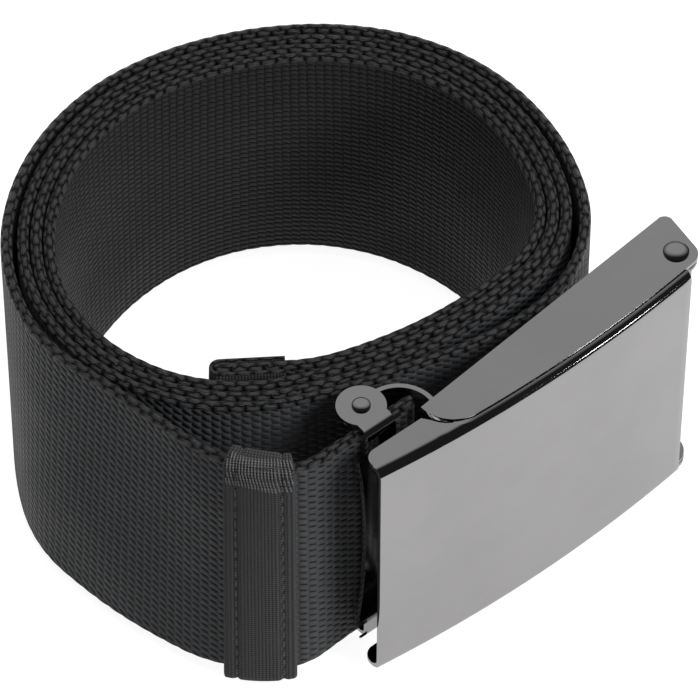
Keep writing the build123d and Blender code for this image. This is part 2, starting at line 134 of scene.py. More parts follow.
@dataclass
class Route:
    """A clockwise path of straight runs and tangent arcs in plan."""

    x: float
    y: float
    facing: float
    length: float = 0.0
    legs: list[Leg] = field(default_factory=list)

    def normal(self) -> Vector:
        """Outward normal at the route's present end."""
        return unit(math.radians(self.facing))

    def run(self, length: float) -> None:
        """Go straight on.

        Args:
            length: length of the run.
        """
        normal = self.normal()
        self.legs.append(Leg(self.length, length, self.x, self.y, self.facing))
        self.x += normal.y * length
        self.y -= normal.x * length
        self.length += length

    def bend(self, radius: float, turn: float) -> None:
        """Turn clockwise on an arc.

        Args:
            radius: radius of the middle line.
            turn: angle in degrees.
        """
        normal = self.normal()
        centre = Vector((self.x, self.y)) - normal * radius
        length = radius * math.radians(turn)
        self.legs.append(Leg(self.length, length, centre.x, centre.y, self.facing, radius))
        self.facing -= turn
        end = centre + self.normal() * radius
        self.x, self.y = end.x, end.y
        self.length += length

    def at(self, travel: float) -> tuple[Vector, Vector]:
        """Point and outward normal at a length; the last leg carries on past the end.

        Args:
            travel: length from the start of the route.

        Returns:
            The plan point and the outward normal.
        """
        for leg in self.legs:
            if travel < leg.start + leg.length:
                return leg.at(travel)
        return self.legs[-1].at(travel)


# ------------------------------------------------------------------ shader graphs
class Graph:
    """A short way of writing a node tree."""

    def __init__(self, tree: bpy.types.NodeTree) -> None:
        """Keep the tree that nodes are added to."""
        self.tree = tree

    def node(self, kind: str, **values: object) -> Node:
        """Add a node of a kind, named without its ShaderNode prefix, and set its properties.

        Args:
            kind: node type without its ShaderNode prefix.
            **values: properties of the node.

        Returns:
            The new node.
        """
        made = self.tree.nodes.new("ShaderNode" + kind)
        for name, value in values.items():
            setattr(made, name, value)
        return made

    def feed(self, socket: Socket, value: object) -> None:
        """Link a socket to another, or set its constant.

        Args:
            socket: the input to fill.
            value: a socket to link, or a constant; None leaves the input alone.
        """
        if isinstance(value, Socket):
            self.tree.links.new(value, socket)
        elif value is not None:
            socket.default_value = value

    def math(self, operation: str, first: object, second: object = None) -> Socket:
        """Add a Math node and return its output.

        Args:
            operation: the Math node's operation.
            first: a socket or a constant.
            second: a socket or a constant, where the operation takes two.

        Returns:
            The result's socket.
        """
        made = self.node("Math", operation=operation)
        self.feed(made.inputs[0], first)
        self.feed(made.inputs[1], second)
        return made.outputs[0]

    def ramp(self, value: object, low: float, high: float, start: object = 0.0,
             end: object = 1.0) -> Socket:
        """Go smoothly from start to end as a value goes from low to high.

        Args:
            value: the socket to map.
            low: where the ramp starts.
            high: where it ends.
            start: result at the low end.
            end: result at the high end.

        Returns:
            The mapped value's socket.
        """
        made = self.node("MapRange", interpolation_type="SMOOTHSTEP")
        for name, given in (("Value", value), ("From Min", low), ("From Max", high),
                            ("To Min", start), ("To Max", end)):
            self.feed(made.inputs[name], given)
        return made.outputs["Result"]

    def mix(self, share: object, first: object, second: object) -> Socket:
        """Mix two colours.

        Args:
            share: share of the second colour.
            first: a colour or its socket.
            second: a colour or its socket.

        Returns:
            The mixed colour's socket.
        """
        made = self.node("Mix", data_type="RGBA")
        self.feed(made.inputs["Factor"], share)
        self.feed(made.inputs["A"], first)
        self.feed(made.inputs["B"], second)
        return made.outputs["Result"]

    def noise(self, vector: object, scale: object, detail: float = 3.0,
              rough: float = 0.55) -> Socket:
        """Add a Noise texture and return its value.

        Args:
            vector: where the texture is read.
            scale: its scale.
            detail: its octaves.
            rough: its roughness.

        Returns:
            The value's socket.
        """
        made = self.node("TexNoise")
        self.feed(made.inputs["Vector"], vector)
        self.feed(made.inputs["Scale"], scale)
        made.inputs["Detail"].default_value = detail
        made.inputs["Roughness"].default_value = rough
        return made.outputs["Fac"]

    def hump(self, value: object) -> Socket:
        """Half a sine wave for each whole step of a value."""
        return self.math("SINE", self.math("MULTIPLY", self.math("FRACT", value), math.pi))

    def wobble(self, vector: object, scale: float, reach: object) -> Socket:
        """A slow wander about zero, for yarns that aren't quite straight."""
        wander = self.math("SUBTRACT", self.noise(vector, scale), 0.5)
        return self.math("MULTIPLY", wander, reach)

    def fibres(self, vector: object, scale: Flat) -> Socket:
        """Fine streaks, drawn out by a scale for each axis."""
        return self.noise(self.stretch(vector, scale), 1.0, 2.0)

    def tones(self, share: object, colour: Colour, low: float,
              high: float) -> Socket:
        """Mix two strengths of one colour.

        Args:
            share: share of the second strength.
            colour: the colour at full strength.
            low: the first strength.
            high: the second strength.

        Returns:
            The colour's socket.
        """
        first, second = ((*[part * strength for part in colour], 1.0)
                         for strength in (low, high))
        return self.mix(share, first, second)

    def relief(self, shader: Node, height: object, depth: float) -> None:
        """Give a shader a bump that is so many millimetres deep.

        Args:
            shader: the shader to give it to.
            height: the height's socket.
            depth: depth in millimetres.
        """
        bump = self.node("Bump")
        bump.inputs["Distance"].default_value = depth * MM
        self.feed(bump.inputs["Height"], height)
        self.feed(shader.inputs["Normal"], bump.outputs["Normal"])

    def stretch(self, vector: object, scale: Flat) -> Socket:
        """Scale a vector by axis.

        Args:
            vector: the vector to scale.
            scale: a factor for each axis.

        Returns:
            The scaled vector's socket.
        """
        made = self.node("Mapping")
        self.feed(made.inputs["Vector"], vector)
        made.inputs["Scale"].default_value = scale
        return made.outputs["Vector"]

    def split(self, vector: object) -> tuple[Socket, Socket]:
        """First two components of a vector.

        Args:
            vector: the vector to split.

        Returns:
            The X and Y sockets.
        """
        made = self.node("SeparateXYZ")
        self.feed(made.inputs[0], vector)
        return made.outputs[0], made.outputs[1]

    def place(self, group: bpy.types.NodeTree, **values: object) -> Node:
        """Place a shared effect, with constants or sockets by input name.

        Args:
            group: the node group.
            **values: constants or sockets by input name.

        Returns:
            The group node.
        """
        made = self.node("Group")
        made.node_tree = group
        for name, value in values.items():
            self.feed(made.inputs[name], value)
        return made


class Effects:
    """The shared effects, each a node group that is built once."""

    _made: dict[str, bpy.types.NodeTree] = {}

    @classmethod
    def _group(cls, name: str, inputs: dict[str, object], outputs: Iterable[str],
               build: Callable[[Graph, Sockets, Sockets], None]
               ) -> bpy.types.NodeTree:
        """Build a node group the first time it is asked for.

        Args:
            name: name of the group.
            inputs: input name to its default, None for a vector.
            outputs: names of the value outputs.
            build: fills the group between its input and output sockets.

        Returns:
            The node group.
        """
        if name in cls._made:
            return cls._made[name]
        tree = bpy.data.node_groups.new(name, "ShaderNodeTree")
        for label, default in inputs.items():
            kind = "NodeSocketVector" if default is None else "NodeSocketFloat"
            socket = tree.interface.new_socket(label, in_out="INPUT", socket_type=kind)
            if default is not None:
                socket.default_value = default
        for label in outputs:
            tree.interface.new_socket(label, in_out="OUTPUT", socket_type="NodeSocketFloat")
        build(Graph(tree), tree.nodes.new("NodeGroupInput").outputs,
              tree.nodes.new("NodeGroupOutput").inputs)
        cls._made[name] = tree
        return tree

    @classmethod
    def warp_floats(cls) -> bpy.types.NodeTree:
        """Rows of warp yarns that dive under the weft, each row half a step on from the last.

        Returns:
            The node group.
        """

        def build(g: Graph, given: Sockets, out: Sockets) -> None:
            """Fill the group.

            Args:
                g: the group's node tree.
                given: its input sockets.
                out: its output sockets.
            """
            vector = given["Vector"]
            wobble = g.wobble(vector, 0.7, given["Wobble"])
            along, across = g.split(vector)
            across = g.math("ADD", across, wobble)
            along = g.math("ADD", along, wobble)
            rows = g.math("DIVIDE", across, given["Row"])
            index = g.math("FLOOR", rows)
            shift = g.math("MULTIPLY", g.math("FLOORED_MODULO", index, 2.0), 0.5)
            steps = g.math("ADD", g.math("DIVIDE", along, given["Pitch"]), shift)
            hump = g.math("POWER", g.hump(steps), given["Crown"])
            yarn = g.math("POWER", g.hump(rows), 0.6)
            ply = g.hump(g.math("MULTIPLY", rows, 3.0))
            yarn = g.math("MULTIPLY", yarn, g.math("ADD", g.math("MULTIPLY", ply, 0.35), 0.65))
            height = g.math("MULTIPLY", yarn, hump)
            fibres = g.fibres(vector, (1.2, 9.0, 1.0))
            g.feed(out["Height"], g.math("ADD", height, g.math("MULTIPLY", fibres, 0.18)))
            # The gap output is a mask for painted shade where the yarns sink, between rows and
            # floats.
            g.feed(out["GapShade"], g.ramp(height, 0.1, 0.85, 1.0, 0.0))
            g.feed(out["Fibres"], fibres)

        inputs = {"Vector": None, "Pitch": 2.6, "Row": 1.0, "Crown": 0.8, "Wobble": 1.2}
        return cls._group("warp_floats", inputs, ("Height", "GapShade", "Fibres"), build)

    @classmethod
    def slanted_ribs(cls) -> bpy.types.NodeTree:
        """Ribs that run across the webbing, each a stack of short slanting yarns.

        Returns:
            The node group.
        """

        def build(g: Graph, given: Sockets, out: Sockets) -> None:
            """Fill the group.

            Args:
                g: the group's node tree.
                given: its input sockets.
                out: its output sockets.
            """
            vector = given["Vector"]
            wobble = g.wobble(vector, 0.3, given["Wobble"])
            along, across = g.split(vector)
            ribs = g.math("DIVIDE", g.math("ADD", along, wobble), given["Pitch"])
            inside = g.math("FRACT", ribs)
            rows = g.math("DIVIDE", g.math("ADD", across, wobble), given["Row"])
            rows = g.math("ADD", rows, g.math("MULTIPLY", inside, given["Slant"]))
            rows = g.math("ADD", rows, g.math("MULTIPLY", g.math("FLOOR", ribs),
                                              given["Step"]))
            rib, yarn = g.hump(ribs), g.hump(rows)
            # Painted shade: the slits between the yarns and, scaled by the furrow input, the
            # furrows between the ribs are masked to be darkened.
            slit_shade = g.math("MULTIPLY", g.ramp(yarn, 0.1, 0.85, 1.0, 0.0),
                          g.ramp(rib, 0.1, 0.75))
            furrow_shade = g.math("MULTIPLY", g.ramp(rib, 0.0, 0.6, 1.0, 0.0),
                            given["FurrowShade"])
            height = g.math("MULTIPLY", g.math("POWER", yarn, 0.7),
                            g.math("ADD", g.math("MULTIPLY", rib, 0.6), 0.4))
            fibres = g.fibres(vector, (1.5, 7.0, 1.0))
            g.feed(out["Height"], g.math("ADD", height, g.math("MULTIPLY", fibres, 0.15)))
            g.feed(out["GapShade"], g.math("MAXIMUM", slit_shade, furrow_shade))
            g.feed(out["Fibres"], fibres)

        inputs = {"Vector": None, "Pitch": 1.5, "Row": 1.5, "Slant": -0.42, "Step": 0.2,
                  "FurrowShade": 0.0, "Wobble": 0.5}
        return cls._group("slanted_ribs", inputs, ("Height", "GapShade", "Fibres"), build)

    @classmethod
    def plain_weave(cls) -> bpy.types.NodeTree:
        """Fine square weave of tape.

        Returns:
            The node group.
        """

        def build(g: Graph, given: Sockets, out: Sockets) -> None:
            """Fill the group.

            Args:
                g: the group's node tree.
                given: its input sockets.
                out: its output sockets.
            """
            along, across = g.split(given["Vector"])
            turns = [g.math("MULTIPLY", g.math("DIVIDE", value, given["Count"]), math.pi)
                     for value in (along, across)]
            warp, weft = (g.math("SINE", turn) for turn in turns)
            height = g.math("ABSOLUTE", g.math("MULTIPLY", warp, weft))
            fibres = g.fibres(given["Vector"], (6.0, 6.0, 1.0))
            g.feed(out["Height"], g.math("ADD", height, g.math("MULTIPLY", fibres, 0.4)))
            # Painted shade: the mask is 1 where the weave sinks between the threads.
            g.feed(out["GapShade"], g.ramp(height, 0.0, 0.5, 1.0, 0.0))

        return cls._group("plain_weave", {"Vector": None, "Count": 0.55}, ("Height", "GapShade"), build)

    @classmethod
    def handling(cls) -> bpy.types.NodeTree:
        """Broad uneven marks of handling, as a mask about 0.5.

        Returns:
            The node group.
        """

        def build(g: Graph, given: Sockets, out: Sockets) -> None:
            """Fill the group.

            Args:
                g: the group's node tree.
                given: its input sockets.
                out: its output sockets.
            """
            broad = g.noise(given["Vector"], given["Scale"], 4.0, 0.6)
            g.feed(out["Mask"], g.ramp(broad, 0.3, 0.7))

        return cls._group("handling", {"Vector": None, "Scale": 90.0}, ("Mask",), build)

    @classmethod
    def hairlines(cls) -> bpy.types.NodeTree:
        """Faint polishing lines that run one way, as a height.

        Returns:
            The node group.
        """

        def build(g: Graph, given: Sockets, out: Sockets) -> None:
            """Fill the group.

            Args:
                g: the group's node tree.
                given: its input sockets.
                out: its output sockets.
            """
            g.feed(out["Height"],
                   g.fibres(given["Vector"], (140.0, 900.0, 9000.0)))

        return cls._group("hairlines", {"Vector": None}, ("Height",), build)


# ------------------------------------------------------------------ finishes
@dataclass(frozen=True)
class Finish:
    """What every finish has: a name and a Principled shader."""

    name: str

    def material(self) -> bpy.types.Material:
        """The finish's material, made once.

        Returns:
            The material.
        """
        made = bpy.data.materials.get(self.name)
        if made is None:
            made = bpy.data.materials.new(self.name)
            made.use_nodes = True
            self.fill(Graph(made.node_tree), made.node_tree.nodes["Principled BSDF"])
        return made

    def fill(self, g: Graph, shader: Node) -> None:
        """Add the finish's own nodes."""
        raise NotImplementedError


@dataclass(frozen=True)
class Nylon(Finish):
    """Dark nylon yarn, patterned on its flat cut in millimetres."""

    yarn: Colour = (0.072, 0.075, 0.081)
    # Near-black painted shade for the slits and furrows between the yarns.
    gap_shade: Colour = (0.002, 0.002, 0.0025)
    depth: float = 0.3
    shine: tuple[float, float] = (0.40, 0.52)
    specular: float = 0.16

    def weave(self, g: Graph, flat: Socket) -> Node:
        """Place the finish's own weave."""
        raise NotImplementedError

    def fill(self, g: Graph, shader: Node) -> None:
        """Add the weave's colour, with painted shade in its slits and furrows, sheen and relief.

        Args:
            g: the material's node tree.
            shader: its Principled shader.
        """
        flat = g.node("UVMap", uv_map="flat").outputs["UV"]
        weave = self.weave(g, flat)
        marks = g.place(Effects.handling(), Vector=flat, Scale=0.03)
        shade = g.tones(weave.outputs["Fibres"], self.yarn, 0.6, 1.4)
        # The yarn's colour turns near black where the weave sinks: painted shade.
        g.feed(shader.inputs["Base Color"],
               g.mix(weave.outputs["GapShade"], shade, (*self.gap_shade, 1.0)))
        g.feed(shader.inputs["Roughness"], g.ramp(marks.outputs["Mask"], 0.0, 1.0, *self.shine))
        shader.inputs["Specular IOR Level"].default_value = self.specular
        shader.inputs["Sheen Weight"].default_value = 0.02
        shader.inputs["Sheen Roughness"].default_value = 0.4
        g.relief(shader, weave.outputs["Height"], self.depth)


@dataclass(frozen=True)
class RibbedNylon(Nylon):
    """A face of the heavy webbing."""

    pitch: float = 1.5
    row: float = 1.5
    slant: float = -0.42
    step: float = 0.2
    # Strength of the painted shade in the furrows between the ribs.
    furrow_shade: float = 0.0

    def weave(self, g: Graph, flat: Socket) -> Node:
        """Place the slanting ribs."""
        return g.place(Effects.slanted_ribs(), Vector=flat, Pitch=self.pitch, Row=self.row,
                       Slant=self.slant, Step=self.step, FurrowShade=self.furrow_shade)


@dataclass(frozen=True)
class SelvageNylon(Nylon):
    """The webbing's woven edge."""

    pitch: float = 2.6
    row: float = math.pi * 0.95 / 3

    def weave(self, g: Graph, flat: Socket) -> Node:
        """Place the rows of long yarns."""
        return g.place(Effects.warp_floats(), Vector=flat, Pitch=self.pitch, Row=self.row)


@dataclass(frozen=True)
class WovenTape(Finish):
    """Plain-woven binding tape, patterned on its flat cut in millimetres."""

    yarn: Colour = (0.062, 0.062, 0.063)
    # Dark painted shade between the threads.
    gap_shade: Colour = (0.010, 0.010, 0.0105)
    count: float = 0.5
    depth: float = 0.12

    def fill(self, g: Graph, shader: Node) -> None:
        """Add the weave's colour, with painted shade between its threads, and relief.

        Args:
            g: the material's node tree.
            shader: its Principled shader.
        """
        flat = g.node("UVMap", uv_map="flat").outputs["UV"]
        weave = g.place(Effects.plain_weave(), Vector=flat, Count=self.count)
        marks = g.place(Effects.handling(), Vector=flat, Scale=0.2)
        worn = g.tones(marks.outputs["Mask"], self.yarn, 0.82, 1.12)
        # The yarn's colour turns dark where the weave sinks: painted shade.
        g.feed(shader.inputs["Base Color"],
               g.mix(weave.outputs["GapShade"], worn, (*self.gap_shade, 1.0)))
        g.feed(shader.inputs["Roughness"], g.ramp(marks.outputs["Mask"], 0.0, 1.0, 0.62, 0.72))
        shader.inputs["Specular IOR Level"].default_value = 0.35
        shader.inputs["Sheen Weight"].default_value = 0.08
        g.relief(shader, weave.outputs["Height"], self.depth)


@dataclass(frozen=True)
class SewingThread(Finish):
    """Twisted sewing thread."""

    colour: Colour = (0.045, 0.045, 0.047)
    depth: float = 0.08

    def fill(self, g: Graph, shader: Node) -> None:
        """Add the twist's colour, with painted shade in its grooves and painted highlight on its
        crests, and relief.

        Args:
            g: the material's node tree.
            shader: its Principled shader.
        """
        place = g.node("TexCoord").outputs["Object"]
        twist = g.node("TexWave", wave_type="BANDS", bands_direction="DIAGONAL")
        g.feed(twist.inputs["Vector"], place)
        twist.inputs["Scale"].default_value = 900.0
        twist.inputs["Distortion"].default_value = 1.5
        # The twist's bands follow its relief: painted shade in the grooves, painted highlight on
        # the crests.
        g.feed(shader.inputs["Base Color"], g.tones(twist.outputs["Fac"], self.colour, 0.5, 1.4))
        marks = g.place(Effects.handling(), Vector=place, Scale=400.0)
        g.feed(shader.inputs["Roughness"], g.ramp(marks.outputs["Mask"], 0.0, 1.0, 0.4, 0.55))
        g.relief(shader, twist.outputs["Fac"], self.depth)


@dataclass(frozen=True)
class PlatedSteel(Finish):
    """Steel plated dark nickel: polished or satin."""

    colour: Colour = (0.400, 0.392, 0.392)
    smooth: float = 0.07
    rough: float = 0.12
    hairline: float = 0.0015

    def fill(self, g: Graph, shader: Node) -> None:
        """Add the plating's colour, smears and polishing lines.

        Args:
            g: the material's node tree.
            shader: its Principled shader.
        """
        place = g.node("TexCoord").outputs["Object"]
        marks = g.place(Effects.handling(), Vector=place, Scale=60.0)
        g.feed(shader.inputs["Base Color"],
               g.tones(marks.outputs["Mask"], self.colour, 0.97, 1.03))
        shader.inputs["Metallic"].default_value = 1.0
        g.feed(shader.inputs["Roughness"],
               g.ramp(marks.outputs["Mask"], 0.0, 1.0, self.smooth, self.rough))
        lines = g.place(Effects.hairlines(), Vector=place)
        g.relief(shader, lines.outputs["Height"], self.hairline)


WEBBING = RibbedNylon("charcoal_webbing")
# The inner face has its own weave; its yarn is darker than the front's as painted shade for the
# inside of the roll.
WEBBING_BACK_SHADED = RibbedNylon("charcoal_webbing_back_shaded", yarn=(0.034, 0.0345, 0.036),
                           gap_shade=(0.002, 0.002, 0.002), specular=0.1, row=1.18, slant=0.3,
                           step=0.0, furrow_shade=0.9)
SELVAGE = SelvageNylon("charcoal_selvage", yarn=(0.050, 0.050, 0.052), depth=0.35,
                       shine=(0.26, 0.36), specular=0.4)
TAPE = WovenTape("binding_tape")
THREAD = SewingThread("black_thread")
PALE_THREAD = SewingThread("tack_thread", colour=(0.14, 0.14, 0.145))
POLISHED = PlatedSteel("polished_plating")
SATIN = PlatedSteel("satin_plating", colour=(0.36, 0.355, 0.355), smooth=0.24, rough=0.34,
                    hairline=0.01)


# ------------------------------------------------------------------ workshop
class Workshop:
    """Meshes made flat with bmesh operators, then laid where they belong."""

    def __init__(self) -> None:
        """Find the clamp pin's place, the origin of the buckle's plan."""
        low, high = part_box("clamp_pin")
        self.origin = (low + high) / 2

    def to_frame(self, x: float, y: float, z: float) -> Vector:
        """A plan point with a height from the middle, in the model's frame in metres."""
        return self.origin + Vector((x, y, z)) * MM

    def strip(self, bm: Mesh, length: float, width: float, thickness: float,
              step: float, rim: int, sides: int) -> None:
        """Make a closed flat strip with full round edges, along X and Z, thick in Y.

        Args:
            bm: the mesh to fill.
            length: length along X from 0.
            width: width along Z about 0.
            thickness: thickness along Y about 0.
            step: spacing of the sections along X.
            rim: points on each round edge.
            sides: cuts across each flat side.
        """
        made = bmesh.ops.create_circle(bm, cap_ends=False, segments=2 * rim,
                                       radius=thickness / 2)
        turn = Matrix.Rotation(math.pi / (2 * rim), 4, "Z")
        upright = Matrix(((0, 0, 1, 0), (0, 1, 0, 0), (1, 0, 0, 0), (0, 0, 0, 1)))
        bmesh.ops.transform(bm, matrix=upright @ turn, verts=made["verts"])
        reach = (width - thickness) / 2
        for sign in (-1.0, 1.0):
            half = [v for v in bm.verts if v.co.z * sign > 0]
            bmesh.ops.translate(bm, vec=(0, 0, sign * reach), verts=half)
        long_sides = [e for e in bm.edges if e.calc_length() > reach]
        bmesh.ops.subdivide_edges(bm, edges=long_sides, cuts=sides)
        drawn = bmesh.ops.extrude_edge_only(bm, edges=list(bm.edges))["geom"]
        bmesh.ops.translate(bm, vec=(length, 0, 0),
                            verts=[v for v in drawn if isinstance(v, bmesh.types.BMVert)])
        lengthways = [e for e in bm.edges if abs(e.verts[0].co.x - e.verts[1].co.x) > length / 2]
        bmesh.ops.subdivide_edges(bm, edges=lengthways, cuts=max(1, round(length / step)) - 1,
                                  use_grid_fill=True)
        ends = [e for e in bm.edges if e.is_boundary]
        bmesh.ops.holes_fill(bm, edges=ends, sides=0)
        bmesh.ops.recalc_face_normals(bm, faces=bm.faces)

    def flat_map(self, bm: Mesh, width: float, thickness: float) -> None:
        """Write the flat cut's own millimetres into a UV map.

        On the round edges the second coordinate is the way round from the front face.

        Args:
            bm: a strip that still lies flat.
            width: the strip's width.
            thickness: the strip's thickness.
        """
        layer = bm.loops.layers.uv.new("flat")
        radius = thickness / 2
        reach = width / 2 - radius
        for face in bm.faces:
            middle = face.calc_center_median()
            rolled = abs(middle.z) > reach and abs(face.normal.x) < 0.5
            for loop in face.loops:
                x, y, z = loop.vert.co
                across = z
                if rolled:
                    across = radius * math.atan2(max(abs(z) - reach, 0.0), y)
                loop[layer].uv = (x, across)

    def lay(self, bm: Mesh, where: Callable[[Flat], Vector]) -> None:
        """Move every point of a flat mesh to its place in the model's frame.

        Args:
            bm: the flat mesh.
            where: turns a flat point into one in the model's frame.
        """
        for vert in bm.verts:
            vert.co = where(tuple(vert.co))
        bmesh.ops.recalc_face_normals(bm, faces=bm.faces)

    def piece(self, name: str, bm: Mesh, finish: Finish, body: Body,
              slot: Slot) -> bpy.types.Object:
        """Turn a finished mesh into a piece that rides on its body.

        Args:
            name: the piece's name.
            bm: the mesh, in the model's frame; it is freed.
            finish: the piece's finish.
            body: the body it moves with.
            slot: the record's material slot; not used.

        Returns:
            The piece.
        """
        mesh = bpy.data.meshes.new(name)
        for face in bm.faces:
            face.smooth = True
        bm.to_mesh(mesh)
        bm.free()
        mesh.materials.append(finish.material())
        made = add_object(name, mesh)
        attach(made, body.value)
        log.info("%s: %d faces, on %s", name, len(mesh.polygons), body.value)
        return made

    def stitch(self, bm: Mesh, start: Flat, end: Flat, width: float,
               height: float) -> None:
        """Add one stitch: a rounded lump of thread between two flat points.

        Args:
            bm: the mesh to add to.
            start: first point, in flat (X, Y, Z).
            end: second point.
            width: thread width.
            height: how far it stands up, along Y.
        """
        first, last = Vector(start), Vector(end)
        along = (last - first).normalized()
        ball = bmesh.ops.create_uvsphere(bm, u_segments=8, v_segments=6, radius=0.5)
        side = along.cross(Vector((0, 1, 0)))
        frame_axes = Matrix((side * width, Vector((0, 1, 0)) * 2 * height,
                             along * ((last - first).length + width * 0.6))).transposed()
        place = Matrix.Translation((first + last) / 2) @ frame_axes.to_4x4()
        bmesh.ops.transform(bm, matrix=place, verts=ball["verts"])

    def break_edges(self, bm: Mesh, sharper_than: float, offset: float,
                    segments: int) -> None:
        """Round off every edge that turns by more than an angle in radians.

        Args:
            bm: the mesh to change.
            sharper_than: angle in radians.
            offset: radius taken off, in millimetres.
            segments: faces across each rounded edge.
        """
        sharp = [e for e in bm.edges if e.is_manifold and e.calc_face_angle(0.0) > sharper_than]
        bmesh.ops.bevel(bm, geom=sharp, offset=offset * MM, offset_type="OFFSET",
                        segments=segments, profile=0.5, affect="EDGES", material=-1,
                        clamp_overlap=True)

    def burnished(self, node: str, finish: Finish, body: Body, slot: Slot,
                  round_off: float) -> None:
        """Replace a frame node by a copy with its edges rounded off, as tumbling leaves them.

        Args:
            node: the frame's node.
            finish: the piece's finish.
            body: the body it moves with.
            slot: the record's material slot.
            round_off: radius taken off each sharp edge.
        """
        bm = bmesh.new()
        bm.from_mesh(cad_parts[node].data)
        bmesh.ops.remove_doubles(bm, verts=bm.verts, dist=0.0005 * MM)
        bmesh.ops.dissolve_limit(bm, angle_limit=math.radians(0.2), verts=bm.verts,
                                 edges=bm.edges, use_dissolve_boundaries=False)
        self.break_edges(bm, math.radians(35), round_off, 4)
        made = self.piece(node + "_polished", bm, finish, body, slot)
        weigh = made.modifiers.new("flat_faces", "WEIGHTED_NORMAL")
        weigh.keep_sharp = False
        weigh.weight = 80
        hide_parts(node)


# ------------------------------------------------------------------ the strap
@dataclass(frozen=True)
class Lean:
    """How far the soft wall of the roll leans out over one stretch of it."""

    facing: float
    spread: float
    top: float
    bottom: float

    def out(self, facing: float, height: float) -> float:
        """Distance moved out at a place on the wall.

        Args:
            facing: angle of the place about the roll's middle, in degrees.
            height: height from the middle, as a share of the width.

        Returns:
            The distance in millimetres.
        """
        away = abs((facing - self.facing + 180.0) % 360.0 - 180.0)
        if away >= self.spread:
            return 0.0
        share = math.cos(math.pi / 2 * away / self.spread) ** 2
        return share * ((self.top + self.bottom) / 2 + (self.top - self.bottom) * height)


